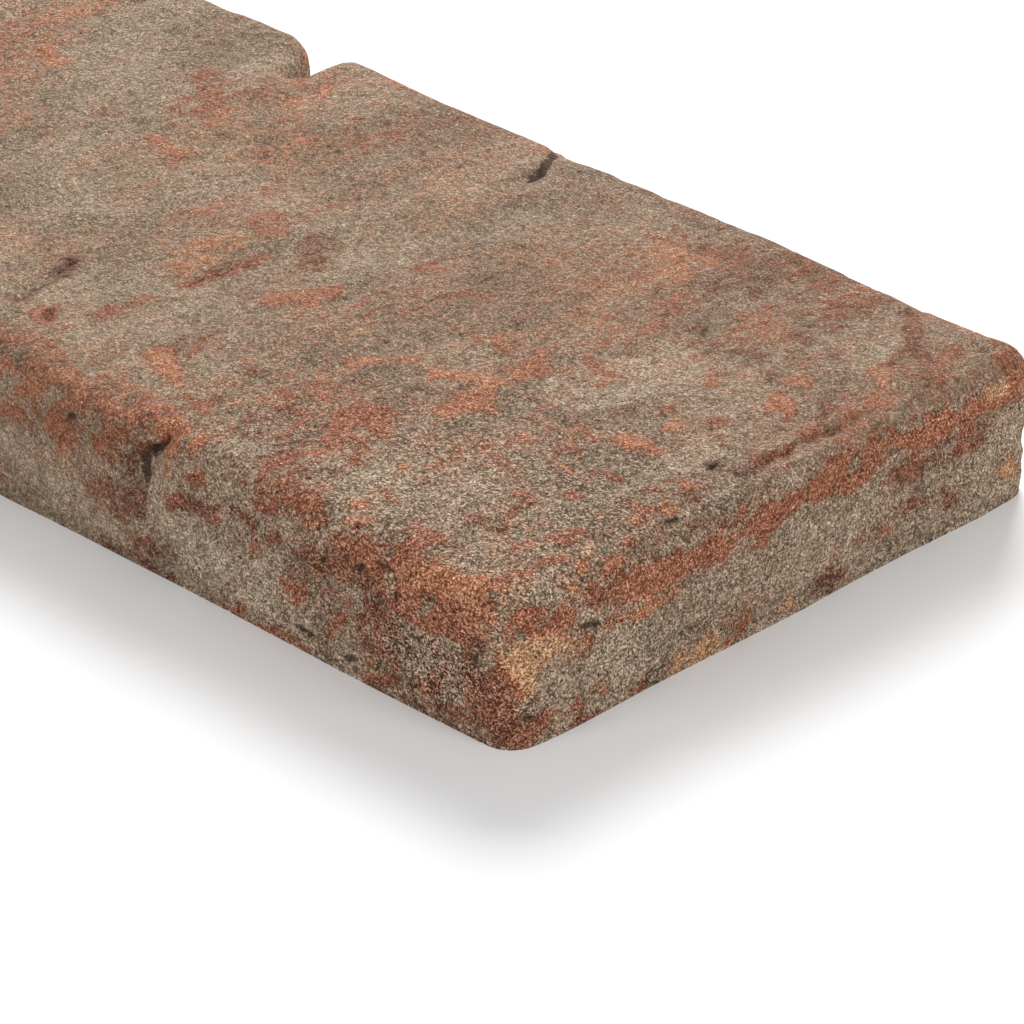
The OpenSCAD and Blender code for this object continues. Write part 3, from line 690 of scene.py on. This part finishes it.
class Finish:
    """A material and short ways to add nodes to it."""

    def __init__(self, name):
        self.material = bpy.data.materials.new(name)
        self.material.use_nodes = True
        self.tree = self.material.node_tree
        self.shader = self.tree.nodes["Principled BSDF"]
        place = self.tree.nodes.new("ShaderNodeTexCoord").outputs["Object"]
        self.mm = self.add("VectorMath", {"Vector": place, "Scale": 1000}, operation="SCALE")

    def feed(self, socket, value):
        """Gives an input a value of its own or the output of another node."""
        if isinstance(value, bpy.types.NodeSocket):
            self.tree.links.new(value, socket)
        else:
            socket.default_value = value

    def add(self, kind, inputs, output=0, **settings):
        """A node with these inputs and settings, as the output it is used for."""
        node = self.tree.nodes.new("ShaderNode" + kind)
        for key, value in settings.items():
            setattr(node, key, value)
        for key, value in inputs.items():
            self.feed(node.inputs[key], value)
        return node.outputs[output]

    def give(self, name, value):
        """Sets one of the shader's own inputs."""
        self.feed(self.shader.inputs[name], value)

    def math(self, operation, a, b=0.0, c=0.0):
        """One sum with up to three values."""
        return self.add("Math", {0: a, 1: b, 2: c}, operation=operation)

    def stirred(self, base, noise, amount):
        """A value pushed up and down by a noise from 0 to 1."""
        return self.math("MULTIPLY_ADD", self.math("SUBTRACT", noise, 0.5), amount, base)

    def line(self, value, from_a, from_b, to_a=0.0, to_b=1.0, **settings):
        """to_a as far as from_a, to_b beyond from_b, and a straight line between them."""
        return self.add("MapRange", {"Value": value, "From Min": from_a, "From Max": from_b,
                                     "To Min": to_a, "To Max": to_b}, **settings)

    def ramp(self, value, from_a, from_b, to_a=0.0, to_b=1.0):
        """The same with a smooth curve between them."""
        return self.line(value, from_a, from_b, to_a, to_b, interpolation_type="SMOOTHSTEP")

    def noise(self, breadth, detail=3.0, roughness=0.6, stretch=(1, 1, 1)):
        """Cloudy noise from 0 to 1; breadth is the size of its largest clouds in mm."""
        at = self.mm
        if stretch != (1, 1, 1):
            at = self.add("VectorMath", {0: at, 1: [1 / s for s in stretch]}, operation="MULTIPLY")
        return self.add("TexNoise", {"Vector": at, "Scale": 1 / breadth, "Detail": detail,
                                     "Roughness": roughness})

    def grains(self, breadth):
        """Grains of this size: the distance from their middles, and a draw for each one."""
        gap = self.add("TexVoronoi", {"Vector": self.mm, "Scale": 1 / breadth}, "Distance")
        return gap, self.add("SeparateColor", {0: gap.node.outputs["Color"]})

    def mix(self, share, a, b, blend="MIX"):
        """Two colours mixed."""
        return self.add("Mix", {0: share, 6: a, 7: b}, 2, data_type="RGBA", blend_type=blend)

    def specked(self, base, speck, breadth, share, size, strength):
        """A colour with round specks of another colour in a share of its grains."""
        gap, draw = self.grains(breadth)
        spots = self.math("MULTIPLY", self.ramp(draw, 1 - share, 1.02 - share),
                          self.ramp(gap, 0.6 * size, size, 1, 0))
        return self.mix(self.math("MULTIPLY", spots, strength), base, speck)

    def attribute(self, name):
        """A value kept at every point of the skin."""
        return self.add("Attribute", {}, 2, attribute_name=name)

    def colours(self, value, stops):
        """A run of colours, each given with its place on the run."""
        node = self.tree.nodes.new("ShaderNodeValToRGB")
        self.tree.links.new(value, node.inputs[0])
        marks = node.color_ramp.elements
        while len(marks) < len(stops):
            marks.new(0.5)
        for mark, (place, shown) in zip(marks, stops):
            mark.position = place
            mark.color = shown
        return node.outputs[0]


# Specks, each kind with its colour, the breadth of its grains in mm, the share of them that have
# a speck, its size as a part of the grain, and how strongly it shows.
# The dark pores are painted shade in tiny pits. The pale grog grains are real and also serve as
# painted glints.
pore_shade = (colour(62, 38, 28), 0.9, 0.26, 0.2, 0.8)
grog_and_glints = (colour(240, 206, 172), 0.6, 0.16, 0.2, 0.85)
charcoal = (colour(82, 76, 74), 2.6, 0.13, 0.12, 0.45)
pale_flecks = (colour(205, 192, 178), 1.5, 0.07, 0.13, 0.65)
# The colour of the painted shade in cracks and hollows.
shade_colour = colour(48, 34, 27)
glint_colour = (0.3, 0.23, 0.17)    # added where a grain catches the light
millimetre = 0.001                  # in metres, for the height of the finest relief

# Noises, each with its breadth in mm, its detail and its roughness, then the grains of sand.
fired = Finish("washed fired clay")
clouds = fired.noise(2.2, 4, 0.6, (1, 2, 1))
patches = fired.noise(0.9, 5, 0.62, (1, 1.7, 1))
grit = fired.noise(0.45, 3, 0.65)
coarse = fired.noise(0.2, 1, 0.5)
fine = fired.noise(0.11, 1, 0.5)
sand = fired.grains(0.12)[1]
pebbles = fired.grains(0.2)[1]
# Painted shade: the lines between the grains are darkened in the colour below.
gap_shade = fired.add("TexVoronoi", {"Vector": fired.mm, "Scale": 1 / 0.3},
                      feature="DISTANCE_TO_EDGE")
gap_shade = fired.ramp(gap_shade, 0, 0.14, 1, 0)
# Hollows: sunk in the bump, and darkened in the colour as painted shade.
hollows = fired.ramp(fired.noise(0.7, 3, 0.6), 0.33, 0.43, 1, 0)
coarseness_here = fired.attribute("coarseness")

# Where the clay is bare. Round it the wash is worn thin, and some red shows through.
wash_edge = fired.stirred(fired.attribute("bare"), clouds, 1.6)
wash_edge = fired.stirred(wash_edge, patches, 3.4)
wash_edge = fired.stirred(wash_edge, grit, 1.2)
wash_edge = fired.stirred(wash_edge, coarse, -0.4)
clay = fired.ramp(fired.math("MULTIPLY", wash_edge, coarseness_here), -0.13, 0.13)
clay = fired.math("MULTIPLY", clay, fired.line(coarseness_here, 0.4, 0.8, 0.8, 1.0))
worn_thin = fired.ramp(wash_edge, -1.0, 0.15, 0.04, 0.45)
clay = fired.math("MAXIMUM", clay, worn_thin)

# The wash, from dark grey to pale beige.
wash_level = fired.stirred(fired.attribute("wash_tone"), clouds, 0.8)
wash_level = fired.stirred(wash_level, grit, 0.9)
wash_colour = fired.colours(wash_level, [(0.0, colour(108, 93, 76)), (0.5, colour(157, 138, 117)),
                                         (1.0, colour(192, 174, 152))])

# The clay in its hues, with dark pores that are painted shade in tiny pits, and pale grains of
# grog that also stand in for painted glints.
clay_level = fired.stirred(fired.attribute("tone"), clouds, 0.6)
clay_level = fired.stirred(clay_level, grit, 0.6)
clay_hues = {"umber": colour(104, 60, 40), "brown": colour(128, 78, 54),
             "brick": colour(155, 92, 62), "rose": colour(170, 108, 78),
             "orange": colour(184, 118, 80), "peach": colour(192, 140, 104),
             "ochre": colour(190, 148, 108)}
clay_colour = fired.colours(clay_level, [(hues[hue], clay_hues[hue]) for hue in hues])
clay_colour = fired.specked(clay_colour, *pore_shade)
clay_colour = fired.specked(clay_colour, *grog_and_glints)

# Every grain of sand is lighter or darker than the next. The gaps and hollows get painted shade
# and the bright grains a painted glint. In the clay the large grains are fainter and the painted
# shadows redder.
large = fired.math("MULTIPLY_ADD", pebbles, 0.9, fired.math("MULTIPLY_ADD", grit, 0.7, -0.8))
large = fired.math("MULTIPLY", large, fired.line(clay, 0, 1, 1.0, 0.45))
grain_light_and_shade = fired.math("MULTIPLY_ADD", coarse, 0.6, fired.math("MULTIPLY", sand, 1.6))
grain_light_and_shade = fired.math("ADD", fired.math("SUBTRACT", grain_light_and_shade, 0.93), large)
grain_light_and_shade = fired.math("MULTIPLY_ADD", gap_shade, -0.4, grain_light_and_shade)
grain_light_and_shade = fired.math("MULTIPLY_ADD", hollows, -0.4, grain_light_and_shade)
grain_light_and_shade = fired.math("MULTIPLY", grain_light_and_shade, coarseness_here)
shading = fired.line(grain_light_and_shade, -1.0, 1.0, 0.2, 1.35)
green_shading = fired.math("POWER", shading, fired.line(clay, 0, 1, 1.1, 1.35))
blue_shading = fired.math("POWER", shading, fired.line(clay, 0, 1, 1.25, 1.6))
shading = fired.add("CombineColor", {0: shading, 1: green_shading, 2: blue_shading})
skin_colour = fired.mix(clay, wash_colour, clay_colour)
skin_colour = fired.mix(1.0, skin_colour, shading, "MULTIPLY")
# Painted highlight: the bright grains get the glint colour added.
glint = fired.math("MAXIMUM", grain_light_and_shade, 0.0)
glint = fired.add("VectorMath", {0: glint_colour, "Scale": glint}, operation="SCALE")
skin_colour = fired.mix(1.0, skin_colour, glint, "ADD")

# Charcoal specks and pale flecks over all of it.
skin_colour = fired.specked(skin_colour, *charcoal)
skin_colour = fired.specked(skin_colour, *pale_flecks)

# Painted shade in the cracks and hollows: a thin film all over them, and deeper shade in ragged
# grains.
shade_here = fired.attribute("painted_shade")
ragged_shade = fired.stirred(shade_here, grit, 0.8)
ragged_shade = fired.stirred(ragged_shade, coarse, 0.7)
shade_film = fired.math("MULTIPLY", shade_here, 0.2)
shade_share = fired.math("MULTIPLY_ADD", fired.ramp(ragged_shade, 0.6, 0.74), 0.62, shade_film)
skin_colour = fired.mix(shade_share, skin_colour, shade_colour)

# The finest relief, in parts of a millimetre.
rough = fired.math("MULTIPLY_ADD", coarse, 0.14, fired.math("MULTIPLY", fine, 0.08))
rough = fired.math("MULTIPLY_ADD", grit, 0.45, rough)
rough = fired.math("MULTIPLY_ADD", patches, 0.6, rough)
rough = fired.math("MULTIPLY_ADD", hollows, -0.12, rough)
rough = fired.math("MULTIPLY_ADD", clay, 0.1, rough)

fired.give("Base Color", skin_colour)
fired.give("Normal", fired.add("Bump", {"Height": rough, "Distance": millimetre}))
fired.give("Roughness", fired.line(clay, 0, 1, 0.97, 0.86))
fired.give("Specular IOR Level", 0.25)

# ---- The sawn back --------------------------------------------------------------------------
# The slip was cut from the brick with a wet blade, which left the clay's own red, the cut grains
# and faint arcs about the blade's axle, well outside the tile. It has no wash.

pale_grains = (colour(200, 176, 152), 1.6, 0.11, 0.24, 0.7)
dark_grains = (colour(96, 66, 54), 1.9, 0.11, 0.2, 0.7)
sawn = Finish("sawn fired clay")
sawn_clouds = sawn.noise(7, 4, 0.6)
sawn_grit = sawn.noise(0.6, 4, 0.7)
to_middle = (35.0, 140.0, 0.0)      # from the blade's axle to the middle of the tile, in mm
from_axle = sawn.add("VectorMath", {0: sawn.mm, 1: to_middle}, operation="ADD")
arcs = sawn.add("TexWave", {"Vector": from_axle, "Scale": 0.17, "Distortion": 5.0, "Detail": 3.0,
                            "Detail Scale": 0.3, "Detail Roughness": 0.65}, "Fac",
                wave_type="RINGS", rings_direction="Z")
cut = sawn.colours(sawn.stirred(sawn_clouds, sawn_grit, 0.7), [
    (0.25, colour(128, 82, 60)), (0.5, colour(156, 104, 78)), (0.75, colour(174, 124, 96))])
cut = sawn.mix(1.0, cut, sawn.line(arcs, 0, 1, 0.92, 1.06), "MULTIPLY")
cut = sawn.specked(cut, *pale_grains)
cut = sawn.specked(cut, *dark_grains)
cut_depth = sawn.math("MULTIPLY_ADD", arcs, 0.05, sawn.math("MULTIPLY", sawn_grit, 0.12))

sawn.give("Base Color", cut)
sawn.give("Normal", sawn.add("Bump", {"Height": cut_depth, "Distance": millimetre}))
sawn.give("Roughness", 0.85)
sawn.give("Specular IOR Level", 0.3)

slip.materials.append(fired.material)
slip.materials.append(sawn.material)
slip.polygons[len(slip.polygons) - 1].material_index = 1

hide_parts("brick_tile")
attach(tile, "root")

# ---- The table ------------------------------------------------------------------------------
# A wide square sheet of white board with a matt face. Nothing is fixed to it: the tile lies
# loose on its sawn back.

reach = 3.0                         # in metres, from the middle to each edge
rim_of_board = [(-reach, -reach, 0), (reach, -reach, 0), (reach, reach, 0), (-reach, reach, 0)]
board = bpy.data.meshes.new("white_board")
board.from_pydata(rim_of_board, [], [(0, 1, 2, 3)])
white = bpy.data.materials.new("matt white board")
white.use_nodes = True
paint = white.node_tree.nodes["Principled BSDF"]
paint.inputs["Base Color"].default_value = (0.9, 0.9, 0.9, 1)
paint.inputs["Roughness"].default_value = 0.9
board.materials.append(white)
table = bpy.data.objects.new("white_board", board)
bpy.context.scene.collection.objects.link(table)

# ---- Light and camera -----------------------------------------------------------------------
# A bright tent all round, a broad softbox above and behind, and two weaker ones towards the near
# end and the near side. The camera looks down on the near corner through a long lens.

tent = bpy.data.worlds.new("tent")
tent.use_nodes = True
cloth = tent.node_tree.nodes["Background"]
cloth.inputs["Color"].default_value = (1, 1, 1, 1)
cloth.inputs["Strength"].default_value = 0.36
bpy.context.scene.world = tent
bpy.context.scene.view_settings.view_transform = "Standard"


def softbox(name, place, size, watts):
    """A square softbox that faces the tile."""
    light = bpy.data.lights.new(name, "AREA")
    light.size, light.energy = size, watts
    lamp = bpy.data.objects.new(name, light)
    lamp.location = place
    lamp.rotation_euler = Vector(place).to_track_quat("Z", "Y").to_euler()
    bpy.context.scene.collection.objects.link(lamp)


softbox("behind", (-0.65, 0.7, 0.65), 0.6, 19)
softbox("end_light", (1.0, 0.0, 0.45), 0.6, 5)
softbox("side_light", (0.0, -0.95, 0.55), 0.6, 4)

camera_data = bpy.data.cameras.new("camera")
camera_data.sensor_width, camera_data.lens = 36, 216.9
camera_data.clip_start, camera_data.clip_end = 0.01, 20
camera = bpy.data.objects.new("camera", camera_data)
azimuth, elevation = math.radians(44.94), math.radians(29.08)
towards = Vector((math.sin(azimuth) * math.cos(elevation), -math.cos(azimuth) * math.cos(elevation),
                  math.sin(elevation)))
turn = towards.to_track_quat("Z", "Y")
near_corner = Vector((near_end, near_side, back)) / 1000
distance, lift = 0.438, 0.01775     # from the near bottom corner, and above it in the picture
camera.location = near_corner + towards * distance + turn @ Vector((0, lift, 0))
camera.rotation_euler = turn.to_euler()
bpy.context.scene.collection.objects.link(camera)
bpy.context.scene.camera = camera
